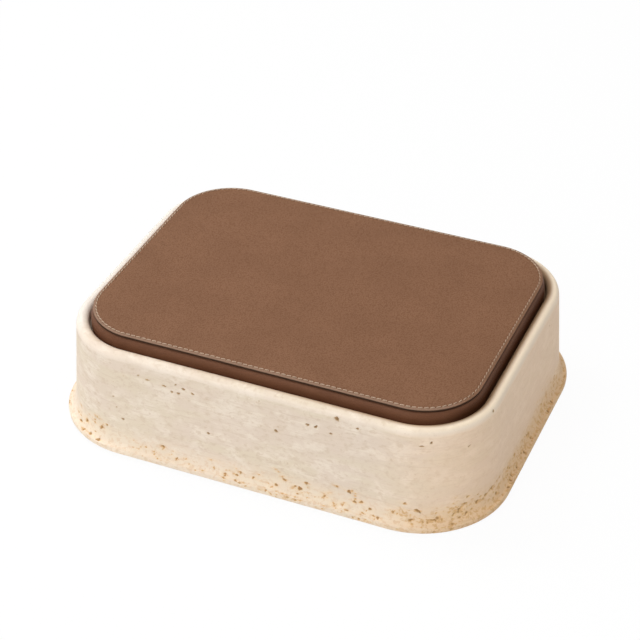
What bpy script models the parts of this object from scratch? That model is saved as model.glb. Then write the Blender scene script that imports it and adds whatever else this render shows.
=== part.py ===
"""Keepsake box: a coved travertine body with a lift-off lid covered in stitched leather.

Metres, +Z up. The origin is on the table under the middle of the box, and +X runs along its length.
Every outline is the lid's plan, a rectangle with round corners, moved outwards or inwards by an
offset. So each piece is a profile of (offset, height) points that is carried round that plan.
"""

from math import cos, pi, radians, sin, tan

import bmesh
import bpy

# Plan of the lid
LID_LENGTH = 0.270
LID_WIDTH = 0.1975
LID_CORNER = 0.0395

# Lid in its recess
RIM_HEIGHT = 0.0760
LID_PROUD = 0.0078
LID_THICKNESS = 0.0150
LID_GAP = 0.0031
LEDGE_WIDTH = 0.0090

# Travertine body, from the rim down to the foot
RIM_INNER_ROUND = 0.0035
RIM_FLAT = 0.0002
RIM_OUTER_ROUND = 0.0050
WALL_DRAFT_DEGREES = 4.2
COVE_SPREAD = 0.00515
COVE_HEIGHT = 0.0135
FOOT_UPPER_ROUND = 0.0012
FOOT_EDGE = 0.0015
FOOT_LOWER_ROUND = 0.0030
STONE_FLOOR = 0.0120

# Felt pad under the foot
PAD_THICKNESS = 0.0020
PAD_PROUD = 0.0008
PAD_MARGIN = 0.0060
PAD_ROUND = 0.0004

# Linings of the store
FLOOR_BOARD = 0.0018
FLOOR_SUEDE = 0.0010
FLOOR_ROUND = 0.0004
WALL_SUEDE = 0.0012
WALL_ROUND = 0.0004

# Leather, board and suede of the lid
TOP_LEATHER = 0.0021
EDGE_ROUND = 0.0005
MARGIN_FALL = 0.0003
SIDE_LEATHER = 0.0012
SIDE_SETBACK = 0.0012
SIDE_BULGE = 0.0017
SHOULDER_FALL = 0.0060
TURN_IN_SHOWN = 0.0020
LID_SUEDE = 0.0016
SUEDE_ROUND = 0.0005

# Saddle stitching round the lid's top
STITCH_INSET = 0.0021
STITCH_PITCH = 0.0038
STITCH_SLANT = 0.00025
THREAD = 0.0007
THREAD_DIP = 0.0003
GROOVE_DEPTH = 0.0009

# A stitch's points: shares of its pitch, of the slant and of the dip
STITCH_SHARES = ((0.0, 0.0, 1.0), (0.3, 1.0, 0.0), (0.7, -1.0, 0.0))

# Glue line, or the space left between two pieces that touch
SEAT = 0.0003

# Facets
CORNER_STEPS = 12
ROUND_STEPS = 4
COVE_STEPS = 7
EDGE_STEPS = 2
SHARP_DEGREES = 35

# Heights that follow from the sizes above
LID_TOP = RIM_HEIGHT + LID_PROUD
LID_BOTTOM = LID_TOP - LID_THICKNESS
LEDGE_TOP = LID_BOTTOM - SEAT
PAD_ROOF = PAD_THICKNESS + SEAT
FLOOR_TOP = PAD_ROOF + STONE_FLOOR
BOARD_BOTTOM = FLOOR_TOP + SEAT
SUEDE_BOTTOM = BOARD_BOTTOM + FLOOR_BOARD + SEAT
SUEDE_TOP = SUEDE_BOTTOM + FLOOR_SUEDE
TOP_LEATHER_BOTTOM = LID_TOP - TOP_LEATHER
BAND_TOP = TOP_LEATHER_BOTTOM - SEAT
SHOULDER = BAND_TOP - SHOULDER_FALL
CORE_TOP = BAND_TOP - SIDE_LEATHER - SEAT
CORE_BOTTOM = LID_BOTTOM + SIDE_LEATHER + SEAT

# Offsets from the lid's plan that follow from the sizes above
RECESS_WALL = LID_GAP
STORE_WALL = RECESS_WALL - LEDGE_WIDTH
LINING_OUTSIDE = STORE_WALL - SEAT
LINING_INSIDE = LINING_OUTSIDE - WALL_SUEDE
SHOULDER_SPREAD = SIDE_SETBACK + SIDE_BULGE
CORE_SHOULDER = -SIDE_SETBACK - SIDE_LEATHER - SEAT
TURN_IN_EDGE = LINING_INSIDE - TURN_IN_SHOWN


def material(name, colour, roughness, metallic=0.0):
    """A Principled material in one linear colour."""
    made = bpy.data.materials.new(name)
    made.use_nodes = True
    shader = made.node_tree.nodes["Principled BSDF"]
    shader.inputs["Base Color"].default_value = (*colour, 1.0)
    shader.inputs["Roughness"].default_value = roughness
    shader.inputs["Metallic"].default_value = metallic
    made.diffuse_color = (*colour, 1.0)
    return made


def plan(offset):
    """The lid's plan moved outwards by offset: four quarter circles, anticlockwise."""
    half_x = LID_LENGTH / 2 - LID_CORNER
    half_y = LID_WIDTH / 2 - LID_CORNER
    radius = LID_CORNER + offset
    points = []
    for corner, (side_x, side_y) in enumerate(((1, 1), (-1, 1), (-1, -1), (1, -1))):
        for step in range(CORNER_STEPS + 1):
            turn = (corner + step / CORNER_STEPS) * pi / 2
            points.append((side_x * half_x + radius * cos(turn), side_y * half_y + radius * sin(turn)))
    return points


def plan_length(offset):
    """Length of the plan moved outwards by offset."""
    straights = 2 * (LID_LENGTH + LID_WIDTH - 4 * LID_CORNER)
    return straights + 2 * pi * (LID_CORNER + offset)


def place_on_plan(offset, distance):
    """The point at a distance round the plan moved by offset, and its outward direction."""
    radius = LID_CORNER + offset
    half_x = LID_LENGTH / 2 - LID_CORNER
    half_y = LID_WIDTH / 2 - LID_CORNER
    quarter = radius * pi / 2
    corners = ((half_x, half_y), (-half_x, half_y), (-half_x, -half_y), (half_x, -half_y))
    sides = (2 * half_y, 2 * half_x, 2 * half_y, 2 * half_x)
    for count, ((corner_x, corner_y), side) in enumerate(zip(corners, sides)):
        turn = count * pi / 2
        if distance < side:
            back = side - distance
            outward = (cos(turn), sin(turn))
            return (corner_x + radius * outward[0] + back * outward[1],
                    corner_y + radius * outward[1] - back * outward[0]), outward
        distance -= side
        if distance < quarter or count == len(corners) - 1:
            turn += distance / radius
            outward = (cos(turn), sin(turn))
            return (corner_x + radius * outward[0], corner_y + radius * outward[1]), outward
        distance -= quarter


def arc(centre, radii, start, end, steps):
    """Points of an elliptical arc in the profile's plane, from start to end in degrees."""
    turns = [radians(start + (end - start) * step / steps) for step in range(steps + 1)]
    return [(centre[0] + radii[0] * cos(turn), centre[1] + radii[1] * sin(turn)) for turn in turns]


def corner_round(offset, height, radius, start, end, steps):
    """A rounded corner of one radius about its centre, from start to end in degrees."""
    if not radius:
        return [(offset, height)]
    return arc((offset, height), (radius, radius), start, end, steps)


def finish(built, name, made):
    """Put a bmesh into an object of that name, shaded smooth but for its sharp edges."""
    bmesh.ops.recalc_face_normals(built, faces=built.faces[:])
    mesh = bpy.data.meshes.new(name)
    built.to_mesh(mesh)
    built.free()
    mesh.shade_smooth()
    mesh.set_sharp_from_angle(angle=radians(SHARP_DEGREES))
    mesh.materials.append(made)
    placed = bpy.data.objects.new(name, mesh)
    bpy.context.collection.objects.link(placed)
    return placed


def sweep(name, profile, made, hoop=False):
    """Carry a profile round the plan. A hoop's profile closes on itself; any other ends in flat caps."""
    built = bmesh.new()
    rings = [[built.verts.new((x, y, height)) for x, y in plan(offset)] for offset, height in profile]
    if hoop:
        rings.append(rings[0])
    for ring, following in zip(rings, rings[1:]):
        for here in range(len(ring)):
            there = (here + 1) % len(ring)
            built.faces.new((ring[here], ring[there], following[there], following[here]))
    if not hoop:
        built.faces.new(rings[0])
        built.faces.new(rings[-1])
    return finish(built, name, made)


def slab(name, edge, bottom, top, made, upper_round=0.0, lower_round=0.0):
    """A flat panel out to an edge offset, with its upper and lower edges rounded or left square."""
    profile = corner_round(edge - lower_round, bottom + lower_round, lower_round, 270, 360, EDGE_STEPS)
    profile += corner_round(edge - upper_round, top - upper_round, upper_round, 0, 90, EDGE_STEPS)
    return sweep(name, profile, made)


def stone_body():
    """The block, milled from one piece: foot, cove, leaning wall, round rim, lid recess and store."""
    rim_centre = RECESS_WALL + RIM_INNER_ROUND
    outer_centre = rim_centre + RIM_FLAT
    rim_inner = corner_round(rim_centre, RIM_HEIGHT - RIM_INNER_ROUND, RIM_INNER_ROUND, 90, 180, ROUND_STEPS)
    rim_outer = corner_round(outer_centre, RIM_HEIGHT - RIM_OUTER_ROUND, RIM_OUTER_ROUND,
                             WALL_DRAFT_DEGREES, 90, ROUND_STEPS + EDGE_STEPS)

    edge_bottom = PAD_PROUD + FOOT_LOWER_ROUND
    edge_top = edge_bottom + FOOT_EDGE
    cove_bottom = edge_top + FOOT_UPPER_ROUND
    cove_top = cove_bottom + COVE_HEIGHT
    wall_foot = rim_outer[0][0] + (rim_outer[0][1] - cove_top) * tan(radians(WALL_DRAFT_DEGREES))
    cove_end = wall_foot + COVE_SPREAD
    foot_edge = cove_end + FOOT_UPPER_ROUND
    lower_centre = foot_edge - FOOT_LOWER_ROUND
    pad_wall = lower_centre - PAD_MARGIN

    profile = [(pad_wall, PAD_ROOF), (pad_wall, PAD_PROUD)]
    profile += corner_round(lower_centre, edge_bottom, FOOT_LOWER_ROUND, 270, 360, ROUND_STEPS)
    profile += corner_round(cove_end, edge_top, FOOT_UPPER_ROUND, 0, 90, EDGE_STEPS)
    profile += arc((cove_end, cove_top), (COVE_SPREAD, COVE_HEIGHT), 270, 180, COVE_STEPS)[1:]
    profile += rim_outer + rim_inner
    profile += [(RECESS_WALL, LEDGE_TOP), (STORE_WALL, LEDGE_TOP), (STORE_WALL, FLOOR_TOP)]
    sweep("stone_body", profile, material("travertine", (0.77, 0.65, 0.52), 0.55))
    slab("base_pad", pad_wall - SEAT, 0, PAD_THICKNESS, material("pad_felt", (0.20, 0.14, 0.10), 0.95),
         upper_round=PAD_ROUND, lower_round=PAD_ROUND)


def store_linings():
    """The suede-covered floor panel, and the suede band round the walls that it fits inside."""
    suede = material("store_suede", (0.33, 0.21, 0.13), 0.92)
    floor_edge = LINING_INSIDE - SEAT
    slab("floor_board", floor_edge, BOARD_BOTTOM, BOARD_BOTTOM + FLOOR_BOARD,
         material("grey_board", (0.36, 0.31, 0.26), 0.85))
    slab("floor_lining", floor_edge, SUEDE_BOTTOM, SUEDE_TOP, suede, upper_round=FLOOR_ROUND)

    top = LEDGE_TOP - SEAT
    profile = [(LINING_OUTSIDE, BOARD_BOTTOM), (LINING_OUTSIDE, top)]
    profile += corner_round(LINING_INSIDE + WALL_ROUND, top - WALL_ROUND, WALL_ROUND, 90, 180, EDGE_STEPS)
    profile += [(LINING_INSIDE, BOARD_BOTTOM)]
    sweep("wall_lining", profile, suede, hoop=True)


def lid_panels(lifter):
    """The board of the lid, its filler and lining, and the leather band turned in over both faces."""
    leather = material("side_leather", (0.15, 0.08, 0.045), 0.50)
    board = material("core_board", (0.45, 0.33, 0.20), 0.80)
    profile = [(CORE_SHOULDER + SHOULDER_SPREAD, CORE_BOTTOM)]
    profile += arc((CORE_SHOULDER, SHOULDER), (SHOULDER_SPREAD, CORE_TOP - SHOULDER), 0, 90, ROUND_STEPS)
    sweep("lid_core", profile, board).parent = lifter
    panel_edge = TURN_IN_EDGE - SEAT
    filler = material("filler_board", (0.40, 0.32, 0.24), 0.85)
    slab("lid_top_filler", panel_edge, CORE_TOP + SEAT, BAND_TOP, filler).parent = lifter
    suede = material("lid_suede", (0.33, 0.21, 0.13), 0.92)
    lining_top = CORE_BOTTOM - SEAT
    slab("lid_lining", panel_edge, lining_top - LID_SUEDE, lining_top, suede,
         lower_round=SUEDE_ROUND).parent = lifter

    bend = SIDE_BULGE - SIDE_LEATHER
    under = BAND_TOP - SIDE_LEATHER
    profile = corner_round(bend, LID_BOTTOM + SIDE_LEATHER, SIDE_LEATHER, 270, 360, EDGE_STEPS)
    profile += arc((-SIDE_SETBACK, SHOULDER), (SHOULDER_SPREAD, SHOULDER_FALL), 0, 90, ROUND_STEPS)
    profile += [(TURN_IN_EDGE, BAND_TOP), (TURN_IN_EDGE, under)]
    profile += arc((-SIDE_SETBACK - SIDE_LEATHER, SHOULDER), (SHOULDER_SPREAD, under - SHOULDER),
                   90, 0, ROUND_STEPS)
    profile += [(bend, LID_BOTTOM + SIDE_LEATHER)]
    profile += [(TURN_IN_EDGE, LID_BOTTOM + SIDE_LEATHER), (TURN_IN_EDGE, LID_BOTTOM)]
    sweep("lid_side_leather", profile, leather, hoop=True).parent = lifter


def lid_top(lifter):
    """The top leather, with a painted edge, a falling margin and the groove for the stitches."""
    groove_half = THREAD / 2 + STITCH_SLANT + SEAT
    groove_outside = -STITCH_INSET + groove_half
    groove_inside = -STITCH_INSET - groove_half
    groove_floor = LID_TOP - GROOVE_DEPTH
    margin_edge = LID_TOP - MARGIN_FALL
    profile = [(0.0, TOP_LEATHER_BOTTOM)]
    profile += corner_round(-EDGE_ROUND, margin_edge - EDGE_ROUND, EDGE_ROUND, 0, 90, EDGE_STEPS)
    profile += [(groove_outside, LID_TOP), (groove_outside, groove_floor)]
    profile += [(groove_inside, groove_floor), (groove_inside, LID_TOP)]
    sweep("lid_top_leather", profile, material("top_leather", (0.242, 0.125, 0.074), 0.55)).parent = lifter


def lid_stitching(lifter):
    """One closed thread in the groove, high along each stitch, low at each hole, and slanted."""
    high = LID_TOP - GROOVE_DEPTH + SEAT + THREAD / 2 + THREAD_DIP
    length = plan_length(-STITCH_INSET)
    stitches = round(length / STITCH_PITCH)
    points = []
    for stitch in range(stitches):
        for along, aside, down in STITCH_SHARES:
            (x, y), outward = place_on_plan(-STITCH_INSET, (stitch + along) * length / stitches)
            shift = aside * STITCH_SLANT
            points.append((x + shift * outward[0], y + shift * outward[1], high - down * THREAD_DIP))

    thread = bpy.data.curves.new("lid_stitching", "CURVE")
    thread.dimensions = "3D"
    thread.bevel_depth = THREAD / 2
    thread.bevel_resolution = 0
    line = thread.splines.new("POLY")
    line.points.add(len(points) - 1)
    for point, place in zip(line.points, points):
        point.co = (*place, 1.0)
    line.use_cyclic_u = True
    thread.materials.append(material("linen_thread", (0.62, 0.50, 0.37), 0.60))
    placed = bpy.data.objects.new("lid_stitching", thread)
    bpy.context.collection.objects.link(placed)
    placed.parent = lifter


for leftover in list(bpy.data.objects):
    bpy.data.objects.remove(leftover, do_unlink=True)

stone_body()
store_linings()
lid_axis = bpy.data.objects.new("lid_axis", None)
bpy.context.collection.objects.link(lid_axis)
lid_panels(lid_axis)
lid_top(lid_axis)
lid_stitching(lid_axis)
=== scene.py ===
"""Finish of the keepsake box: honed travertine, stitched leather, suede, board and felt.

Metres, +Z up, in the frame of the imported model. The box is put together from the stone outwards:
body, foot pad, linings, boards of the lid, leather, stitches, and then the studio it stands in.
"""

from functools import partial
from math import ceil, cos, pi, radians, sin, tan

import bpy
import numpy as np
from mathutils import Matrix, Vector


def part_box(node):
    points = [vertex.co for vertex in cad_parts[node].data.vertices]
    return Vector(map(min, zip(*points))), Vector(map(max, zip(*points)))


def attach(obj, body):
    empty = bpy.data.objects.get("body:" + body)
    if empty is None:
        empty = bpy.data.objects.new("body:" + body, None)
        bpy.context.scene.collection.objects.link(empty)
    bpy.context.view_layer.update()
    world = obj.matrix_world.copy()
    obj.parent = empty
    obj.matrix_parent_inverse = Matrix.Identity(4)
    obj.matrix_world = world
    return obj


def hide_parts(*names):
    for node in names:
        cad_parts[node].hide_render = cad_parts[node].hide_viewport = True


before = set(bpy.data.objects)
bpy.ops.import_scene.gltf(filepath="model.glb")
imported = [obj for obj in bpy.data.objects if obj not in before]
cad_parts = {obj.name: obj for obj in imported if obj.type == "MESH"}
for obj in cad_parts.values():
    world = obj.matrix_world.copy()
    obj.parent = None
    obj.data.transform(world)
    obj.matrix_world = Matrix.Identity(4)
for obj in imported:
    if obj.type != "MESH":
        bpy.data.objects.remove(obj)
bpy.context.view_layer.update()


# Travertine body: one block, milled out for the store and the lid's recess, and honed all over.
# It is cut along its beds, so fine layers run level round the sides, and the open pores left by
# the spring water lie thickest in the foot.
LID_CORNER = 0.0395
LID_GAP = 0.0031
LEDGE_WIDTH = 0.0090
RIM_INNER_ROUND = 0.0035
RIM_FLAT = 0.0002
RIM_OUTER_ROUND = 0.0050
WALL_LEAN = 4.2
WALL_DRAFT = radians(WALL_LEAN)
COVE_SPREAD = 0.00515
COVE_HEIGHT = 0.0135
FOOT_UPPER_ROUND = 0.0012
FOOT_EDGE = 0.0015
FOOT_LOWER_ROUND = 0.0030
PAD_MARGIN = 0.0060
ARRIS = 0.0005
SEAT = 0.0003

GAUGE_OFFSET = 0.010
STATION_STEP = 0.0025
ROW_STEP = 0.00125
INNER_STEP = 0.012
COVE_STEP = 0.0014
RIM_STEP = 0.0010
ROUND_STEP = 0.0007
STATION_SPLIT = 5
ROW_SPLIT = 3
LONG_CELLS = 4
PORE_SHARP = radians(48)

lid_low, lid_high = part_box("lid_top_leather")
stone_low, stone_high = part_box("stone_body")
CORE_X = lid_high.x - LID_CORNER
CORE_Y = lid_high.y - LID_CORNER


def joins(gauge):
    """Distances walked to the eight joins of the plan's straights and quarter circles, at a gauge."""
    quarter = (LID_CORNER + gauge) * pi / 2
    return np.cumsum((0,) + (2 * CORE_Y, quarter, 2 * CORE_X, quarter) * 2)


def outward_turn(distance, gauge):
    """How far the outward direction has turned: not at all on a straight, and evenly in a corner."""
    places = joins(gauge)
    return np.interp(np.mod(distance, places[-1]), places, np.array((0, 0, 1, 1, 2, 2, 3, 3, 4)) * pi / 2)


def walk(distance, offset, gauge):
    """Points on the lid's plan moved outwards by an offset, and their outward directions.

    The plan is a rectangle's four sides with a quarter circle at each corner. Both the point of
    the core rectangle and the turn of the outward direction are straight lines in the distance
    between two joins, so both are interpolated; the point is the core point plus the corner's
    radius and the offset outwards. The distance runs anticlockwise from the front end of the
    right side, and is measured on the plan moved by the gauge.
    """
    places = joins(gauge)
    turn = outward_turn(distance, gauge)
    distance = np.mod(distance, places[-1])
    core_x = np.interp(distance, places, np.array((1, 1, 1, -1, -1, -1, -1, 1, 1)) * CORE_X)
    core_y = np.interp(distance, places, np.array((-1, 1, 1, 1, 1, -1, -1, -1, -1)) * CORE_Y)
    outward_x, outward_y = np.cos(turn), np.sin(turn)
    radius = LID_CORNER + offset
    return core_x + radius * outward_x, core_y + radius * outward_y, outward_x, outward_y


def arc(centre, radii, start, end, step=ROUND_STEP):
    """An arc in the (offset, height) plane from start to end in degrees, of one radius or two."""
    wide, tall = np.broadcast_to(radii, 2)
    steps = max(2, ceil(max(wide, tall) * radians(abs(end - start)) / step))
    turns = np.radians(np.linspace(start, end, steps + 1))
    return np.column_stack((centre[0] + wide * np.cos(turns), centre[1] + tall * np.sin(turns)))


def spread(profile, step):
    """A profile with even points added on its long stretches, so that none is longer than a step."""
    profile = np.asarray(profile, float)
    lengths = np.linalg.norm(np.diff(profile, axis=0), axis=1)
    counts = np.maximum(1, np.ceil(lengths / step - 1e-6)).astype(int)
    first = np.repeat(np.arange(len(counts)), counts)
    share = (np.arange(counts.sum()) - np.repeat(np.cumsum(counts) - counts, counts)) / counts[first]
    between = profile[first] + share[:, None] * (profile[first + 1] - profile[first])
    return np.vstack((between, profile[-1:]))


def put(name, data):
    """An object of a mesh, a lamp or a camera, in the scene."""
    placed = bpy.data.objects.new(name, data)
    bpy.context.collection.objects.link(placed)
    return placed


def put_mesh(name, points, loops, totals, sharp, values=None):
    """An object whose faces are the loops of point numbers, in runs of the given totals."""
    mesh = bpy.data.meshes.new(name)
    mesh.vertices.add(len(points))
    mesh.vertices.foreach_set("co", np.asarray(points, np.float32).ravel())
    mesh.loops.add(len(loops))
    mesh.loops.foreach_set("vertex_index", np.asarray(loops, np.int32))
    mesh.polygons.add(len(totals))
    mesh.polygons.foreach_set("loop_start", (np.cumsum(totals) - totals).astype(np.int32))
    mesh.polygons.foreach_set("loop_total", np.asarray(totals, np.int32))
    mesh.update(calc_edges=True)
    mesh.validate()
    mesh.shade_smooth()
    mesh.set_sharp_from_angle(angle=sharp)
    for title, field in (values or {}).items():
        mesh.attributes.new(title, "FLOAT", "POINT").data.foreach_set("value", field.astype(np.float32))
    return put(name, mesh)


def stone_profile():
    """The block's section from the foot pad's recess, up the outside, over the rim, to the store's floor."""
    ledge_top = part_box("lid_side_leather")[0].z - SEAT
    floor_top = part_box("floor_board")[0].z - SEAT
    pad_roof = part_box("base_pad")[1].z + SEAT
    store_wall = LID_GAP - LEDGE_WIDTH
    rim_centre = LID_GAP + RIM_INNER_ROUND
    outer_centre = rim_centre + RIM_FLAT
    outer_height = stone_high.z - RIM_OUTER_ROUND
    edge_bottom = stone_low.z + FOOT_LOWER_ROUND
    edge_top = edge_bottom + FOOT_EDGE
    cove_top = edge_top + FOOT_UPPER_ROUND + COVE_HEIGHT
    wall_top = outer_centre + RIM_OUTER_ROUND * cos(WALL_DRAFT)
    wall_rise = outer_height + RIM_OUTER_ROUND * sin(WALL_DRAFT) - cove_top
    cove_end = wall_top + wall_rise * tan(WALL_DRAFT) + COVE_SPREAD
    lower_centre = cove_end + FOOT_UPPER_ROUND - FOOT_LOWER_ROUND
    pad_wall = lower_centre - PAD_MARGIN
    return np.vstack((
        [(pad_wall, pad_roof), (pad_wall, stone_low.z)],
        arc((lower_centre, edge_bottom), FOOT_LOWER_ROUND, 270, 360, RIM_STEP),
        arc((cove_end, edge_top), FOOT_UPPER_ROUND, 0, 90, RIM_STEP / 2),
        arc((cove_end, cove_top), (COVE_SPREAD, COVE_HEIGHT), 270, 180, COVE_STEP)[1:],
        arc((outer_centre, outer_height), RIM_OUTER_ROUND, WALL_LEAN, 90, RIM_STEP),
        arc((rim_centre, stone_high.z - RIM_INNER_ROUND), RIM_INNER_ROUND, 90, 180, RIM_STEP),
        arc((LID_GAP - ARRIS, ledge_top + ARRIS), ARRIS, 0, -90, ARRIS / 2),
        arc((store_wall + ARRIS, ledge_top - ARRIS), ARRIS, 90, 180, ARRIS / 2),
        [(store_wall, floor_top)],
    ))


# The stone's surface is a lattice of stations round the plan and rows along the profile
ring_length = joins(GAUGE_OFFSET)[-1]
stations = LONG_CELLS * round(ring_length / STATION_STEP / LONG_CELLS)
section = stone_profile()
section_top = int(np.argmax(section[:, 1]))
rows = np.vstack((spread(section[:section_top + 1], ROW_STEP),
                  spread(section[section_top:], INNER_STEP)[1:]))
row_numbers = np.arange((len(rows) - 1) * ROW_SPLIT + 1) / ROW_SPLIT
fine_rows = np.column_stack([np.interp(row_numbers, np.arange(len(rows)), rows[:, k]) for k in (0, 1)])
fine_distance = np.arange(stations * STATION_SPLIT) * ring_length / (stations * STATION_SPLIT)
row_slope = np.gradient(fine_rows, axis=0)
row_slope /= np.linalg.norm(row_slope, axis=1)[:, None]
fine_run = np.concatenate(([0], np.cumsum(np.linalg.norm(np.diff(fine_rows, axis=0), axis=1))))
outer_rows = slice(0, int(np.argmax(fine_rows[:, 1])) + 1)


def run_at(height):
    """How far along the profile the outside of the block reaches a height."""
    return np.interp(height, fine_rows[outer_rows, 1], fine_run[outer_rows])


# Pores: clusters of holes, each an ellipse with an uneven lip, drawn out along the beds. The
# larger ones on the front are listed one by one: thousandths of the way round, height, half
# length and half width in millimetres, and tilt.
PORE_SEED = 11
PORE_WINDOW = 10
PORE_LIP = 0.45
LIP_WAVES = ((2, 0.16), (3, 0.14), (5, 0.10))
STAIN_SPREAD = 0.0018
STAIN_FULL = 0.985
LOW_FOOT = (0.0042, 0.0110)
FOOT = (0.0042, 0.0185)
WALL = (0.0240, 0.0680)
PORE_DEEPEST = 0.0008
FRONT_PORES = (
    (727, 64.5, 1.1, 0.5, 0.1), (734, 62.8, 1.9, 0.6, -0.1), (747, 61.6, 1.7, 0.7, 0.0),
    (756, 64.8, 0.9, 0.6, 0.3), (753, 58.6, 1.1, 0.8, 0.2), (758, 58.7, 1.2, 0.9, -0.2),
    (762, 62.9, 1.4, 0.9, 0.1), (769, 61.2, 1.8, 0.7, -0.4), (714, 27.0, 1.4, 0.8, 0.1),
    (781, 34.0, 1.4, 0.8, -0.2), (876, 71.2, 2.1, 1.2, -0.9), (855, 61.1, 1.3, 1.0, 0.3),
    (861, 61.1, 1.3, 1.0, 0.8), (832, 50.1, 1.8, 0.9, -0.6), (872, 59.0, 1.2, 0.7, 0.2),
    (891, 68.0, 1.2, 0.8, 0.7), (935, 65.0, 1.4, 0.7, 0.1), (941, 67.5, 1.1, 0.8, 0.5),
    (967, 59.5, 1.2, 0.6, 0.6), (991, 73.5, 1.3, 0.8, 1.1))
FOOT_PORES = (
    (739, 8.8, 0.8, 0.6, 0.2), (757, 8.3, 1.6, 0.7, 1.4), (764, 9.8, 1.1, 0.5, 1.0),
    (783, 13.8, 1.0, 0.5, 0.6), (786, 9.1, 1.2, 0.6, -1.3), (795, 7.8, 1.0, 0.8, 0.0),
    (804, 6.5, 1.4, 0.8, -0.4), (816, 9.8, 1.3, 0.7, 1.2), (820, 12.8, 0.7, 0.6, 0.0),
    (839, 14.2, 1.4, 0.9, 0.0), (851, 11.0, 1.8, 1.3, 0.6), (850, 7.8, 0.9, 0.7, 0.0),
    (878, 20.0, 1.0, 0.8, 0.2), (887, 18.5, 1.7, 1.2, -0.3), (903, 10.5, 1.0, 1.0, 0.0),
    (926, 20.5, 1.1, 0.9, 0.0), (934, 15.8, 2.4, 1.0, -0.8), (930, 9.4, 1.6, 0.9, 0.2),
    (940, 9.7, 1.2, 0.6, -0.6), (960, 13.5, 1.6, 1.0, 0.9))
rng = np.random.default_rng(PORE_SEED)


def pore_clusters(clusters, most, heights, scatter, lengths, depth, ochre, start=0.0, end=1.0):
    """Rows of pores: distance round, run up, half length, half width, tilt, depth and stain.

    Cluster middles are even draws between two heights and two shares of the way round, and a
    cluster's pores scatter about its middle by a bell curve, wider along the beds than across.
    """
    owners = np.repeat(np.arange(clusters), rng.integers(1, most + 1, clusters))
    around = rng.uniform(start, end, clusters)[owners] * ring_length
    upward = run_at(rng.uniform(*heights, clusters))[owners]
    count = len(owners)
    around = around + rng.normal(0, scatter[0], count)
    upward = upward + rng.normal(0, scatter[1], count)
    long = lengths[0] * (lengths[1] / lengths[0]) ** (rng.random(count) ** 2)
    wide = long * rng.uniform(0.45, 0.95, count)
    tilt = rng.normal(0, 0.5, count)
    return np.column_stack((around, upward, long, wide, tilt, depth * wide, np.full(count, ochre)))


def set_pores(table, ochre):
    """The listed pores, as rows like those of the clusters."""
    share, height, long, wide = np.array(table).T[:4] / 1000
    tilt = [row[4] for row in table]
    return np.column_stack((share * ring_length, run_at(height), long, wide, tilt, wide,
                            np.full(len(table), ochre)))


pores = np.vstack((
    set_pores(FRONT_PORES, 0.1),
    set_pores(FOOT_PORES, 1.2),
    pore_clusters(60, 6, LOW_FOOT, (0.006, 0.0020), (0.0005, 0.0013), 0.9, 1.0),
    pore_clusters(14, 6, LOW_FOOT, (0.005, 0.0018), (0.0006, 0.0014), 0.8, 1.2, 0.74, 0.88),
    pore_clusters(22, 6, FOOT, (0.005, 0.0024), (0.0007, 0.0016), 0.8, 1.3, 0.84, 0.97),
    pore_clusters(26, 6, FOOT, (0.005, 0.0024), (0.0007, 0.0016), 0.8, 1.4, 0.95, 1.14),
    pore_clusters(50, 7, FOOT, (0.005, 0.0030), (0.0005, 0.0012), 0.8, 1.4, 0.92, 1.20),
    pore_clusters(60, 4, WALL, (0.006, 0.0018), (0.0004, 0.0008), 0.7, 0.1),
    pore_clusters(52, 6, FOOT, (0.005, 0.0024), (0.0006, 0.0016), 0.8, 1.2, 0.14, 0.70),
    pore_clusters(12, 5, WALL, (0.006, 0.0018), (0.0008, 0.0016), 0.8, 0.1, 0.16, 0.70),
))


def stamp(pores):
    """Depth of the pores over the fine lattice.

    Each pore is worked out on a window of lattice points about its middle. Its lip is an ellipse
    that three waves round it push in and out; the depth falls in a straight line across the lip.
    """
    around, upward, long, wide, tilt, depth = (pores[:, k, None, None] for k in range(6))
    reach = np.arange(-PORE_WINDOW, PORE_WINDOW + 1)
    station = np.rint(around / fine_distance[1]).astype(int) + reach[:, None]
    row = np.clip(np.searchsorted(fine_run, pores[:, 1])[:, None, None] + reach, 1, len(fine_run) - 2)
    along = station * fine_distance[1] - around
    across = fine_run[row] - upward
    u = (along * np.cos(tilt) + across * np.sin(tilt)) / long
    v = (across * np.cos(tilt) - along * np.sin(tilt)) / wide
    turn = np.arctan2(v, u)
    lip = np.ones_like(turn)
    for wave, swing in LIP_WAVES:
        lip += swing * np.sin(wave * turn + rng.uniform(0, 2 * pi, (len(pores), 1, 1)))
    deep = depth * np.clip((lip - np.hypot(u, v)) / PORE_LIP, 0, 1)
    field = np.zeros((len(fine_distance), len(fine_run)))
    station, row = np.broadcast_arrays(station % len(fine_distance), row)
    np.maximum.at(field, (station, row), deep)
    return field


def soften(field, around, along):
    """The field blurred by a bell curve, as a product in the frequency domain."""
    waves_around = np.fft.fftfreq(field.shape[0], fine_distance[1])[:, None]
    waves_along = np.fft.rfftfreq(field.shape[1], ROW_STEP / ROW_SPLIT)
    fall = np.exp(-2 * (pi * around * waves_around) ** 2 - 2 * (pi * along * waves_along) ** 2)
    return np.fft.irfft2(np.fft.rfft2(field) * fall, field.shape)


pore_depth = stamp(pores)
mass = np.zeros_like(pore_depth)
np.add.at(mass, (np.rint(pores[:, 0] / fine_distance[1]).astype(int) % len(fine_distance),
                 np.clip(np.searchsorted(fine_run, pores[:, 1]), 0, len(fine_run) - 1)),
          pores[:, 2] * pores[:, 6])
stain = soften(mass, STAIN_SPREAD, STAIN_SPREAD / 2)
stain = np.clip(stain / np.quantile(stain, STAIN_FULL), 0, 1)

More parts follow.
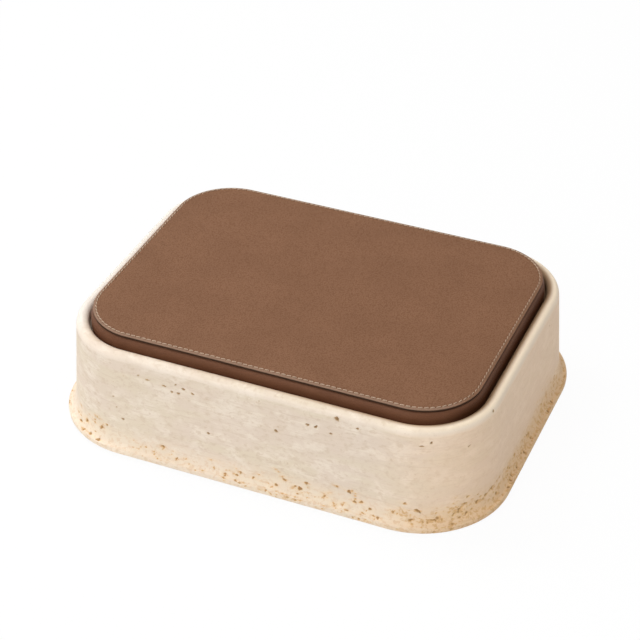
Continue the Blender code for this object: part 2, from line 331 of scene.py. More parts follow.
# Cells that a pore reaches, or comes within one fine step of, are split finely
close = pore_depth > 0
for axis in (0, 1):
    close = close | np.roll(close, 1, axis) | np.roll(close, -1, axis) | np.roll(close, -2, axis)
split = close[:, :-1].reshape(stations, STATION_SPLIT, len(rows) - 1, ROW_SPLIT).any(axis=(1, 3))
split[:, :1] = split[:, -1:] = False

across_x, across_y, outward_x, outward_y = walk(fine_distance[:, None], fine_rows[:, 0], GAUGE_OFFSET)
sink_out = -row_slope[:, 1] * pore_depth
sink_up = row_slope[:, 0] * pore_depth
lattice = np.stack((across_x + sink_out * outward_x, across_y + sink_out * outward_y,
                    fine_rows[:, 1] + sink_up), axis=2)

row_count = len(fine_run)
cell_station, cell_row = np.nonzero(split)
step_station, step_row = np.meshgrid(np.arange(STATION_SPLIT), np.arange(ROW_SPLIT), indexing="ij")
small_station = (cell_station[:, None] * STATION_SPLIT + step_station.ravel()).ravel()
small_row = (cell_row[:, None] * ROW_SPLIT + step_row.ravel()).ravel()


def lattice_number(station, row):
    """The number of a lattice point, with the stations closing round."""
    return (station % len(fine_distance)) * row_count + row


small_faces = np.column_stack([lattice_number(small_station + right, small_row + up)
                               for right, up in ((0, 0), (1, 0), (1, 1), (0, 1))])
used = np.zeros(pore_depth.size, bool)
used[small_faces.ravel()] = True

# On the plan's straights, whole cells join into long faces; round the corners they stay as they are
ends = np.arange(stations) * STATION_SPLIT
heading = outward_turn(fine_distance[ends], GAUGE_OFFSET)
straight = heading[::LONG_CELLS] == np.roll(heading, -LONG_CELLS)[::LONG_CELLS]
long_faces = ~split.reshape(-1, LONG_CELLS, len(rows) - 1).any(axis=1) & straight[:, None]
short_faces = ~split & ~np.repeat(long_faces, LONG_CELLS, axis=0)


def rim_numbers(faces, cells):
    """The lattice points round each face that is so many cells long; its corners are marked as used."""
    length = STATION_SPLIT * cells
    station, row = np.nonzero(faces)
    along, up = np.arange(length), np.arange(ROW_SPLIT)
    rim_station = np.concatenate((along, np.full(ROW_SPLIT, length), length - along, 0 * up))
    rim_row = np.concatenate((0 * along, up, np.full(length, ROW_SPLIT), ROW_SPLIT - up))
    rim = lattice_number(station[:, None] * length + rim_station, row[:, None] * ROW_SPLIT + rim_row)
    used[rim[:, [0, length, length + ROW_SPLIT, 2 * length + ROW_SPLIT]]] = True
    return rim


rims = [rim_numbers(long_faces, LONG_CELLS), rim_numbers(short_faces, 1)]
rims += [lattice_number(ends[::-1], 0)[None], lattice_number(ends, row_count - 1)[None]]
loops = np.concatenate([small_faces.ravel()] + [rim[used[rim]] for rim in rims])
totals = np.concatenate([np.full(len(small_faces), 4)] + [used[rim].sum(axis=1) for rim in rims])
renumbered = np.cumsum(used) - 1
inner_side = fine_rows[outer_rows.stop - 1, 0] - fine_rows[:, 0]
body = put_mesh("travertine_body", lattice.reshape(-1, 3)[used], renumbered[loops], totals, PORE_SHARP,
                {"pore": np.clip(pore_depth.ravel()[used] / PORE_DEEPEST, 0, 1),
                 "stain": stain.ravel()[used],
                 "inner_side": np.tile(inner_side, len(pore_depth))[used]})


def new_material(name):
    """An empty material: its node tree and its shader."""
    made = bpy.data.materials.new(name)
    made.use_nodes = True
    return made, made.node_tree, made.node_tree.nodes["Principled BSDF"]


def fill(node, sockets):
    """Links a node's sockets to other nodes' outputs, or sets them to values."""
    for title, value in sockets.items():
        if isinstance(value, bpy.types.NodeSocket):
            node.id_data.links.new(value, node.inputs[title])
        else:
            node.inputs[title].default_value = value


def add(tree, kind, sockets=None, **settings):
    """A shader node of a kind, with its settings made and its sockets filled."""
    node = tree.nodes.new("ShaderNode" + kind)
    for title, value in settings.items():
        setattr(node, title, value)
    fill(node, sockets or {})
    return node


def object_place(tree):
    """The point's place on the piece, in metres."""
    return add(tree, "TexCoord").outputs["Object"]


def place_parts(tree):
    """The point's place to the right, back and up."""
    return add(tree, "SeparateXYZ", {"Vector": object_place(tree)}).outputs


def own_value(tree, title):
    """A value that the piece's own mesh carries."""
    return add(tree, "Attribute", attribute_name=title).outputs["Fac"]


# Each of the next functions adds its node to the tree that its first value is in


def stretched(place, scale):
    """A place stretched by three factors."""
    return add(place.id_data, "Mapping", {"Vector": place, "Scale": scale}).outputs["Vector"]


def noise(place, scale, detail=3.0, roughness=0.5, distortion=0.0):
    """Cloudy noise, from 0 to 1 about a half."""
    return add(place.id_data, "TexNoise", {"Vector": place, "Scale": scale, "Detail": detail,
               "Roughness": roughness, "Distortion": distortion}).outputs["Fac"]


def sift(value, low, high, start=0.0, end=1.0):
    """A value spread smoothly from start to end as it goes from low to high."""
    return add(value.id_data, "MapRange", {"Value": value, "From Min": low, "From Max": high,
               "To Min": start, "To Max": end}, interpolation_type="SMOOTHSTEP").outputs["Result"]


def reckon(operation, first, second=0.0):
    """The sum, product or other operation of two values, the first being another node's output."""
    return add(first.id_data, "Math", {0: first, 1: second}, operation=operation).outputs[0]


def times(*values):
    """The product of several values."""
    product = values[0]
    for value in values[1:]:
        product = reckon("MULTIPLY", product, value)
    return product


def tint(share, under, over):
    """One colour laid over another by a share; a colour is an output, or red, green and blue."""
    under, over = ((*colour, 1) if isinstance(colour, tuple) else colour for colour in (under, over))
    return add(share.id_data, "Mix", {0: share, 6: under, 7: over}, data_type="RGBA").outputs[2]


def layered(colour, *layers):
    """A colour with others laid over it in turn, each by its own share."""
    for share, over in layers:
        colour = tint(share, colour, over)
    return colour


def relief(height, depth):
    """The normal of a bump whose height of 1 stands proud by a depth in metres."""
    return add(height.id_data, "Bump", {"Height": height, "Distance": depth,
               "Strength": 1.0}).outputs["Normal"]


def dress(piece, made):
    """Put one material on a piece."""
    piece.data.materials.clear()
    piece.data.materials.append(made)


PINK_BED, YELLOW_BED = (0.790, 0.664, 0.548), (0.787, 0.676, 0.530)
CLOUD, STREAK, FRECKLE = (0.880, 0.775, 0.655), (0.690, 0.555, 0.425), (0.680, 0.540, 0.400)
# Wall tints: duller half way up, and for the right end ochre stain mixed with painted warm shade
DULL_WALL, OCHRE_AND_WARM_SHADE_WALL = (0.610, 0.495, 0.390), (0.925, 0.645, 0.418)
# Rim colours, all painted highlights: on the right end's rim, on the left end's rim, and in a band on the
# outer round
RIGHT_RIM_HIGHLIGHT, LEFT_RIM_HIGHLIGHT, RIM_HIGHLIGHT_BAND = (0.950, 0.795, 0.600), (0.850, 0.790, 0.720), (0.905, 0.788, 0.668)
WARM_FOOT, HONEY_FOOT = (0.960, 0.810, 0.640), (0.800, 0.530, 0.285)
OCHRE_STAIN, SPECK, GRAIN = (0.900, 0.660, 0.390), (0.680, 0.400, 0.165), (0.600, 0.480, 0.350)
# Painted shade for the recess under the lid, and a darker painted shade for the recess at the right end
PAINTED_RECESS_SHADE, PAINTED_RECESS_SHADE_RIGHT = (0.400, 0.250, 0.145), (0.290, 0.175, 0.098)
PORE_MOUTH, STAINED_MOUTH = (0.560, 0.385, 0.220), (0.775, 0.510, 0.250)
PORE_EARTH, STAINED_EARTH = (0.345, 0.210, 0.100), (0.480, 0.285, 0.125)
DULL_FROM, DULL_TO, DULL_ACROSS = (0.030, 0.044), (0.073, 0.062), (0.100, 0.145)
BELOW_RIM, ROUND_RIM = (0.0752, 0.0700), (0.0690, 0.0745)
# Heights of the painted highlight band on the rim's outer round
HIGHLIGHT_BAND_FROM, HIGHLIGHT_BAND_TO = (0.0706, 0.0722), (0.0752, 0.0738)
FOOT_FADE, LEFT_END, RIGHT_END = (0.030, 0.014), (-0.125, -0.140), (0.085, 0.175)
# Reach of the painted shade in the recess: inwards from the rim's top, growing to the right, darker at the
# right end
RECESS_SHADE_DOWN, RECESS_SHADE_ACROSS, RECESS_SHADE_RIGHTWARD = (-0.0021, 0.0019), (-0.14, 0.13), (0.105, 0.134)


def travertine():
    """Cream stone in pink and yellow beds, with clouds, streaks and freckles. The wall is a little duller
    half way up, and the right end's wall is ochre, partly its stain and partly painted warm shade. The rim
    has painted highlights at the right end, at the left end and in a band on its outer round, and the foot
    is warm. Ochre specks lie where the pores are thick, brown earth fills them, and painted shade darkens
    the recess under the lid, most at the right end."""
    made, tree, shader = new_material("honed_travertine")
    place = object_place(tree)
    parts = place_parts(tree)
    by_height, by_across = partial(sift, parts["Z"]), partial(sift, parts["X"])
    beds = noise(stretched(place, (16, 16, 60)), 1.0, 4.0, 0.55, 0.6)
    clouds = noise(stretched(place, (60, 60, 110)), 1.0, 4.0, 0.6, 0.3)
    freckles = noise(stretched(place, (240, 240, 380)), 1.0, 3.0, 0.65, 0.2)
    specks = noise(stretched(place, (330, 330, 420)), 1.0, 3.0, 0.6, 0.4)
    streaks = noise(stretched(place, (45, 45, 620)), 1.0, 3.0, 0.6, 0.5)
    grains = noise(place, 900.0, 3.0, 0.6)
    stained, pore = own_value(tree, "stain"), own_value(tree, "pore")
    inner_side = own_value(tree, "inner_side")

    dull = times(by_height(*DULL_FROM), by_height(*DULL_TO), by_across(*DULL_ACROSS, 0.06, 0.0))
    right_end = sift(reckon("ADD", parts["X"], times(clouds, 0.030)), *RIGHT_END)
    right_wall = times(right_end, by_height(*BELOW_RIM))
    foot = sift(reckon("ADD", parts["Z"], times(clouds, 0.014)), *FOOT_FADE)
    freckled_foot = times(foot, sift(right_wall, 0.0, 1.0, 0.42, 1.1))
    speckled = times(reckon("MAXIMUM", stained, freckled_foot), sift(specks, 0.50, 0.62))
    # Painted shade in the recess round the lid, stronger towards the right
    recess_shade = times(sift(inner_side, *RECESS_SHADE_DOWN), by_across(*RECESS_SHADE_ACROSS, 0.25, 0.98))
    in_stain = sift(stained, 0.05, 0.35)

    colour = layered(
        tint(sift(beds, 0.36, 0.64), PINK_BED, YELLOW_BED),
        (sift(clouds, 0.46, 0.66, 0.0, 0.85), CLOUD),
        (sift(streaks, 0.50, 0.72, 0.0, 0.48), STREAK),
        (sift(freckles, 0.48, 0.72, 0.0, 0.65), FRECKLE),
        (dull, DULL_WALL),
        # Painted highlight on the rim's round at the right end
        (times(right_end, by_height(*ROUND_RIM, 0.0, 0.95)), RIGHT_RIM_HIGHLIGHT),
        # Painted highlight on the rim's round at the left end
        (times(by_across(*LEFT_END), by_height(*ROUND_RIM, 0.0, 0.9)), LEFT_RIM_HIGHLIGHT),
        # Painted highlight in a band on the rim's outer round
        (times(by_height(*HIGHLIGHT_BAND_FROM), by_height(*HIGHLIGHT_BAND_TO, 0.0, 0.5)), RIM_HIGHLIGHT_BAND),
        # Right end's wall: ochre stain together with painted warm shade
        (times(right_wall, 0.58), OCHRE_AND_WARM_SHADE_WALL),
        (times(foot, 0.55), WARM_FOOT),
        (times(stained, 0.38), OCHRE_STAIN),
        (times(foot, right_wall, 0.75), HONEY_FOOT),
        (times(speckled, 0.65), SPECK),
        (sift(grains, 0.58, 0.75, 0.0, 0.28), GRAIN),
        # Painted shade in the recess, darker at the right end
        (recess_shade, tint(by_across(*RECESS_SHADE_RIGHTWARD), PAINTED_RECESS_SHADE, PAINTED_RECESS_SHADE_RIGHT)),
        (sift(pore, 0.05, 0.45, 0.0, 0.9), tint(in_stain, PORE_MOUTH, STAINED_MOUTH)),
        (sift(pore, 0.45, 1.0, 0.0, 0.9), tint(in_stain, PORE_EARTH, STAINED_EARTH)))
    fill(shader, {"Base Color": colour, "Roughness": sift(grains, 0.3, 0.7, 0.48, 0.62),
                  "Specular IOR Level": 0.12, "Normal": relief(sift(grains, 0.72, 0.58), 0.00006)})
    return made


dress(body, travertine())
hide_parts("stone_body")
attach(body, "box")


# Foot pad: wool felt, die cut to the foot's outline and glued into the shallow recess under it, so
# that the stone stands on felt.
PAD_ROUND = 0.0004
PAD_WAVE = 0.00012
PAD_WAVE_RATE = 90.0
PAD_STATION = 0.004
PANEL_SHARES = (0.04, 0.10, 0.18, 0.27, 0.37, 0.48, 0.60, 0.72, 0.84, 0.96)
SOFT_SHARP = radians(50)
FELT_DEEP, FELT_PALE = (0.150, 0.100, 0.070), (0.260, 0.185, 0.135)


def weave(row_count, station_count, hoop=False):
    """Faces of a lattice of rows by stations that closes round, and round its rows too if a hoop."""
    last = row_count if hoop else row_count - 1
    row, station = np.meshgrid(np.arange(last), np.arange(station_count), indexing="ij")
    row, station = row.ravel(), station.ravel()
    above, beside = (row + 1) % row_count, (station + 1) % station_count
    return np.column_stack((row * station_count + station, row * station_count + beside,
                            above * station_count + beside, above * station_count + station))


def carried(offset, height, distance, gauge):
    """Points of a profile carried round the plan; offset and height are rows by one or by stations."""
    x, y, _, _ = walk(distance, offset, gauge)
    return np.stack((x, y, np.broadcast_to(height, x.shape)), axis=2)


def even_stations(step, gauge):
    """Distances round the plan at a gauge, an equal step apart that is close to the one asked for."""
    length = joins(gauge)[-1]
    count = round(length / step)
    return np.arange(count) * length / count


def inner_rings(edge_points, shares):
    """Rings that shrink from an edge ring towards the middle line of the plan, by rising shares."""
    middle = np.zeros_like(edge_points)
    reach = CORE_X - CORE_Y
    middle[:, 0] = np.clip(edge_points[:, 0], -reach, reach)
    middle[:, 2] = edge_points[:, 2]
    shares = np.asarray(shares)[:, None, None]
    return edge_points * (1 - shares) + middle * shares


def soft_panel(name, low, high, lower_round, upper_round, wave, rate, step):
    """A panel with round edges that fills a box. Its broad faces dip by a slow wave: a half, and half
    a sine to the right times a cosine to the back."""
    edge, bottom, top = high.x - lid_high.x, low.z, high.z
    profile = np.vstack((
        arc((edge - lower_round, bottom + lower_round), lower_round, 270, 360, lower_round / 3),
        arc((edge - upper_round, top - upper_round), upper_round, 0, 90, upper_round / 3)))
    side = carried(profile[:, :1], profile[:, 1:], even_stations(step, edge), edge)
    under, over = inner_rings(side[0], PANEL_SHARES[::-1]), inner_rings(side[-1], PANEL_SHARES)
    for rings, way in ((under, 1), (over, -1)):
        swell = 0.5 + 0.5 * np.sin(rings[..., 0] * rate) * np.cos(rings[..., 1] * rate * 1.3 + 0.7)
        rings[..., 2] += way * wave * swell
    points = np.concatenate((under, side, over))
    rings, count = points.shape[:2]
    quads, cap = weave(rings, count), np.arange(count)
    loops = np.concatenate((quads.ravel(), cap[::-1], cap + (rings - 1) * count))
    totals = np.concatenate((np.full(len(quads), 4), (count, count)))
    return put_mesh(name, points.reshape(-1, 3), loops, totals, SOFT_SHARP)


def new_group(name, inputs, outputs):
    """An empty node group: the group, its inputs and the node that its outputs go into."""
    group = bpy.data.node_groups.new(name, "ShaderNodeTree")
    for title in inputs:
        kind = "NodeSocketVector" if title == "Place" else "NodeSocketFloat"
        group.interface.new_socket(title, in_out="INPUT", socket_type=kind)
    for title in outputs:
        group.interface.new_socket(title, in_out="OUTPUT", socket_type="NodeSocketFloat")
    return group, group.nodes.new("NodeGroupInput").outputs, group.nodes.new("NodeGroupOutput")


def nap_group():
    """A fibre nap: short brushed streaks and soft blotches where the pile lies another way."""
    group, given, result = new_group("brushed_nap", ("Place", "Fibre Scale", "Blotch Scale"),
                                     ("Shade", "Height"))
    fibres = noise(given["Place"], given["Fibre Scale"], 4.0, 0.7, 0.8)
    blotches = noise(given["Place"], given["Blotch Scale"], 2.0, 0.5, 0.4)
    shade = reckon("ADD", times(fibres, 0.72), times(blotches, 0.28))
    fill(result, {"Shade": sift(shade, 0.30, 0.70), "Height": fibres})
    return group


brushed_nap = nap_group()


def napped(name, deep, pale, fibre_scale, blotch_scale, depth, sheen):
    """A napped cloth or hide in two close colours, rough, with a soft sheen."""
    made, tree, shader = new_material(name)
    nap = add(tree, "Group", {"Place": object_place(tree), "Fibre Scale": fibre_scale,
              "Blotch Scale": blotch_scale}, node_tree=brushed_nap).outputs
    fill(shader, {"Base Color": tint(nap["Shade"], deep, pale),
                  "Roughness": sift(nap["Shade"], 0.0, 1.0, 0.97, 0.86),
                  "Specular IOR Level": 0.15, "Sheen Weight": sheen, "Sheen Roughness": 0.5,
                  "Normal": relief(nap["Height"], depth)})
    return made


pad = soft_panel("foot_pad", *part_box("base_pad"), PAD_ROUND, PAD_ROUND, PAD_WAVE, PAD_WAVE_RATE,
                 PAD_STATION)
dress(pad, napped("wool_felt", FELT_DEEP, FELT_PALE, fibre_scale=2600.0, blotch_scale=120.0,
                  depth=0.00025, sheen=0.2))
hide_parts("base_pad")
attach(pad, "box")


# Lining of the store's walls: one strip of suede glued round the stone. Its upper edge is pared
# round, and its ends are butted at the back.
WALL_EDGE_ROUND = 0.0004
SUEDE_DEEP, SUEDE_PALE = (0.250, 0.150, 0.088), (0.365, 0.235, 0.148)
SEAM_WIDTH = 0.0009
SEAM_DEPTH = 0.0007
LINING_STATION = 0.0030
LINING_ROW = 0.004
lining_low, lining_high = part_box("wall_lining")
LINING_OUTSIDE = lining_high.x - lid_high.x
WALL_SUEDE = 0.0012
LINING_INSIDE = LINING_OUTSIDE - WALL_SUEDE


def bell(way, width):
    """A bell curve: e to minus the square of the way from its middle over its width."""
    return np.exp(-(way / width) ** 2)


def back_middle(gauge):
    """The distance walked to the middle of the back side."""
    return joins(gauge)[2] + CORE_X


def back_seam(gauge, distance):
    """1 at the middle of the back side, falling by a bell curve as wide as the seam."""
    return bell(distance - back_middle(gauge), SEAM_WIDTH)


def with_seam(distance, gauge):
    """Stations with more of them close to the back seam."""
    middle = back_middle(gauge)
    close = middle + np.linspace(-2.5, 2.5, 21) * SEAM_WIDTH
    away = distance[np.abs(distance - middle) > 3 * SEAM_WIDTH]
    return np.sort(np.concatenate((away, close)))


def hoop_piece(name, profile, distance, gauge, sink):
    """A band that closes round the plan and round its own profile, with its face sunk by a field."""
    closed = np.vstack((profile[-1:], profile, profile[:1]))
    slope = closed[2:] - closed[:-2]
    slope /= np.linalg.norm(slope, axis=1)[:, None]
    offset = profile[:, :1] - slope[:, 1:] * sink
    height = profile[:, 1:] + slope[:, :1] * sink
    points = carried(offset, height, distance, gauge)
    quads = weave(len(profile), len(distance), hoop=True)
    return put_mesh(name, points.reshape(-1, 3), quads.ravel(), np.full(len(quads), 4), SOFT_SHARP)


def wall_lining():
    """The suede strip, with its upper edge rounded and a fine butt seam at the back."""
    bottom, top = lining_low.z, lining_high.z
    rows = spread(np.vstack((
        [(LINING_OUTSIDE, bottom), (LINING_OUTSIDE, top)],
        arc((LINING_INSIDE + WALL_EDGE_ROUND, top - WALL_EDGE_ROUND), WALL_EDGE_ROUND, 90, 180,
            WALL_EDGE_ROUND / 3),
        [(LINING_INSIDE, bottom)])), LINING_ROW)
    distance = with_seam(even_stations(LINING_STATION, LINING_INSIDE), LINING_INSIDE)
    inside = (rows[:, :1] < LINING_INSIDE + WALL_EDGE_ROUND) & (rows[:, 1:] > bottom)
    sink = inside * SEAM_DEPTH * back_seam(LINING_INSIDE, distance)
    return hoop_piece("suede_wall_lining", rows, distance, LINING_INSIDE, sink)


wall_suede = wall_lining()
store_suede = napped("store_suede", SUEDE_DEEP, SUEDE_PALE, fibre_scale=2200.0, blotch_scale=60.0,
                     depth=0.00012, sheen=0.5)
dress(wall_suede, store_suede)
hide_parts("wall_lining")
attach(wall_suede, "box")


# Floor of the store: a grey pulp board, and over it a panel of the same suede as on the walls,
# glued down inside the strip.
FLOOR_ROUND = 0.0004
FLOOR_WAVE = 0.00010
GLUED_ROUND = 0.0001
SUEDE_WAVE_RATE = 70.0
floor_suede = soft_panel("suede_floor_lining", *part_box("floor_lining"), GLUED_ROUND, FLOOR_ROUND,
                         FLOOR_WAVE, SUEDE_WAVE_RATE, LINING_STATION)
dress(floor_suede, store_suede)
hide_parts("floor_lining")
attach(floor_suede, "box")


def pulp_board(name, deep, pale, fleck):
    """Pressed paper board: fine fibre flecks in a plain body colour."""
    made, tree, shader = new_material(name)
    place = object_place(tree)
    plain = tint(sift(noise(place, 160.0, 4.0, 0.6), 0.35, 0.65), deep, pale)
    flecks = noise(stretched(place, (1, 1, 2.5)), 1500.0, 3.0, 0.7, 1.2)
    fill(shader, {"Base Color": tint(sift(flecks, 0.60, 0.72, 0.0, 0.6), plain, fleck),
                  "Roughness": sift(flecks, 0.4, 0.7, 0.88, 0.76),
                  "Normal": relief(flecks, 0.00008)})
    return made


dress(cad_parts["floor_board"],
      pulp_board("floor_grey_board", (0.30, 0.26, 0.22), (0.40, 0.35, 0.29), (0.16, 0.13, 0.11)))


# Boards of the lid: a core laminated from pulp board, and on it a thinner filler board, let in level
# with the turned-in leather.
dress(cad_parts["lid_core"],
      pulp_board("lid_core_board", (0.42, 0.31, 0.19), (0.52, 0.40, 0.26), (0.24, 0.16, 0.09)))
dress(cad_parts["lid_top_filler"],
      pulp_board("lid_filler_board", (0.36, 0.29, 0.22), (0.44, 0.36, 0.27), (0.20, 0.15, 0.11)))


# Side leather: a smooth calf strip wrapped round the lid's rounded edge, turned in over both faces
# of the core, pleated at the corners where it turns, and butted at the back.
SIDE_LEATHER = 0.0012
SIDE_SETBACK = 0.0012
SHOULDER_FALL = 0.0060
SIDE_STEP = 0.0008
SIDE_STATION = 0.0016
SIDE_SEAM_DEPTH = 0.0006
PLEAT_DEPTH = 0.00022
PLEATS = 15
SIDE_DEEP, SIDE_PALE = (0.146, 0.059, 0.029), (0.168, 0.070, 0.035)
# Creases of the grain, and painted shade for the lower face at the right end
SIDE_CREASE, SIDE_PAINTED_SHADE = (0.083, 0.031, 0.013), (0.062, 0.018, 0.004)
# Where the painted shade on the side leather lies: towards the right end and down towards the stone
SIDE_SHADE_ACROSS, SIDE_SHADE_DOWN = (0.120, 0.134), (0.0809, 0.0785)
band_low, band_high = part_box("lid_side_leather")
BAND_OUTSIDE = band_high.x - lid_high.x
TURN_IN_EDGE = -0.0094


def side_leather():
    """The strip's section is a hollow C with a bulging face. Its face dips at the seam, and its lower
    turn-in is pleated: round each corner its depth goes up and down by a cosine, more towards its edge."""
    bend = BAND_OUTSIDE - SIDE_LEATHER
    reach = BAND_OUTSIDE + SIDE_SETBACK
    bottom, top = band_low.z, band_high.z
    shoulder, under_top = top - SHOULDER_FALL, top - SIDE_LEATHER
    face = spread(np.vstack((
        arc((bend, bottom + SIDE_LEATHER), SIDE_LEATHER, 270, 360, SIDE_LEATHER / 4),
        arc((-SIDE_SETBACK, shoulder), (reach, SHOULDER_FALL), 0, 90))), SIDE_STEP)
    folds = spread(np.vstack((
        face[-1:], [(TURN_IN_EDGE, top), (TURN_IN_EDGE, under_top)],
        arc((-SIDE_SETBACK - SIDE_LEATHER, shoulder), (reach, under_top - shoulder), 90, 0),
        [(bend, bottom + SIDE_LEATHER), (TURN_IN_EDGE, bottom + SIDE_LEATHER), (TURN_IN_EDGE, bottom)],
        face[:1])), SIDE_STEP)
    rows = np.vstack((face, folds[1:-1]))
    distance = with_seam(even_stations(SIDE_STATION, BAND_OUTSIDE), BAND_OUTSIDE)
    on_face = np.arange(len(rows))[:, None] < len(face)
    sink = on_face * SIDE_SEAM_DEPTH * back_seam(BAND_OUTSIDE, distance)
    turn = outward_turn(distance, BAND_OUTSIDE)
    in_corner = np.sin(2 * turn) ** 2
    under = ~on_face & (np.abs(rows[:, 1:] - bottom) < 1e-6)
    deeper = np.clip((bend - rows[:, :1]) / (bend - TURN_IN_EDGE), 0, 1)
    pleat = 0.5 - 0.5 * np.cos(4 * PLEATS * turn)
    sink = sink + under * deeper * PLEAT_DEPTH * (in_corner * pleat)
    return hoop_piece("side_leather_band", rows, distance, BAND_OUTSIDE, sink)


def grain_group():
    """Leather grain: small pebbles parted by creases, and finer pores on their backs."""
    group, given, result = new_group("hide_grain", ("Place", "Pebble Scale"), ("Height", "Crease", "Blotch"))
    sway = add(group, "TexNoise", {"Vector": given["Place"], "Scale": 500.0, "Detail": 2.0})
    moved = add(group, "VectorMath", {0: sway.outputs["Color"], 1: (0.0007, 0.0007, 0.0007)},
                operation="MULTIPLY").outputs[0]
    moved = add(group, "VectorMath", {0: given["Place"], 1: moved}, operation="ADD").outputs[0]
    cells = add(group, "TexVoronoi", {"Vector": moved, "Scale": given["Pebble Scale"],
                "Smoothness": 0.35}, feature="SMOOTH_F1").outputs["Distance"]
    pores_on = times(noise(given["Place"], 5200.0, 2.0, 0.6), 0.18)
    fill(result, {"Height": reckon("ADD", sift(cells, 0.15, 0.75, 1.0, 0.0), pores_on),
                  "Crease": sift(cells, 0.42, 0.72),
                  "Blotch": noise(given["Place"], 34.0, 3.0, 0.5, 0.3)})
    return group


hide_grain = grain_group()


def grained(tree, pebble_scale):
    """The grain's outputs at the piece's own place."""
    return add(tree, "Group", {"Place": object_place(tree), "Pebble Scale": pebble_scale},
               node_tree=hide_grain).outputs


def smooth_calf():
    """Close, smooth brown calf with a low wax shine, darker in its creases; painted shade low at the right.
    """
    made, tree, shader = new_material("side_calf")
    grain, parts = grained(tree, 2600.0), place_parts(tree)
    # Painted shade on the lower face of the band at the right end
    side_shade = times(sift(parts["X"], *SIDE_SHADE_ACROSS), sift(parts["Z"], *SIDE_SHADE_DOWN), 0.72)
    colour = layered(tint(sift(grain["Blotch"], 0.35, 0.65), SIDE_DEEP, SIDE_PALE),
                     (times(grain["Crease"], 0.30), SIDE_CREASE), (side_shade, SIDE_PAINTED_SHADE))
    fill(shader, {"Base Color": colour, "Roughness": sift(grain["Height"], 0.2, 1.0, 0.50, 0.40),
                  "Specular IOR Level": 0.12, "Normal": relief(grain["Height"], 0.00006)})
    return made


band = side_leather()
dress(band, smooth_calf())
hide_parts("lid_side_leather")
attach(band, "lid")


# Top leather: one panel of fine-grained calf over the whole lid, its margin pressed down, pricked
# and sewn close to the edge, and its cut edge rounded, painted dark and burnished.
STITCH_INSET = 0.0021
STITCH_PITCH = 0.0038
STITCH_SLANT = 0.00025
STITCH_STATIONS = 8
EDGE_ROUND = 0.0005
CUT_UNDER, CUT_SLACK, CUT_LIFT = 0.0003, 0.00005, 0.0002
MARGIN_FALL = 0.0003
VALLEY_DEPTH = 0.00022
VALLEY_WIDTH = 0.00060
HOLE_DEPTH = 0.00032
HOLE_WIDTH = 0.00034
FIELD_WAVE = 0.00005
RATE_ACROSS, RATE_BACK = 55, 73
FIELD_INSET = 0.02
SEWN_SHARP = radians(60)
TOP_DEEP, TOP_PALE, TOP_CREASE = (0.194, 0.092, 0.047), (0.212, 0.102, 0.053), (0.112, 0.046, 0.020)
# Painted sheen for the pressed margin, and the real dark paint of the cut edge
MARGIN_SHEEN, EDGE_PAINT = (0.315, 0.210, 0.150), (0.060, 0.032, 0.020)
# Where the margin's painted sheen lies, and where it fades towards the right end
MARGIN_EDGE, MARGIN_SHEEN_FADE = (0.0019, 0.0013), (0.120, 0.133)
PAINT_FALL, PAINT_EDGE = (0.00042, 0.00085), (0.0010, 0.0007)
FIELD_SHARES = (0.03, 0.07, 0.12, 0.18, 0.26, 0.35, 0.45, 0.56, 0.68, 0.80, 0.90, 0.97)
MARGIN_INSETS = np.concatenate((np.arange(0.0006, 0.0036, 0.00020), (0.0040, 0.0046, 0.0054, 0.0066)))

seam_length = joins(-STITCH_INSET)[-1]
stitches = round(seam_length / STITCH_PITCH)
PITCH = seam_length / stitches


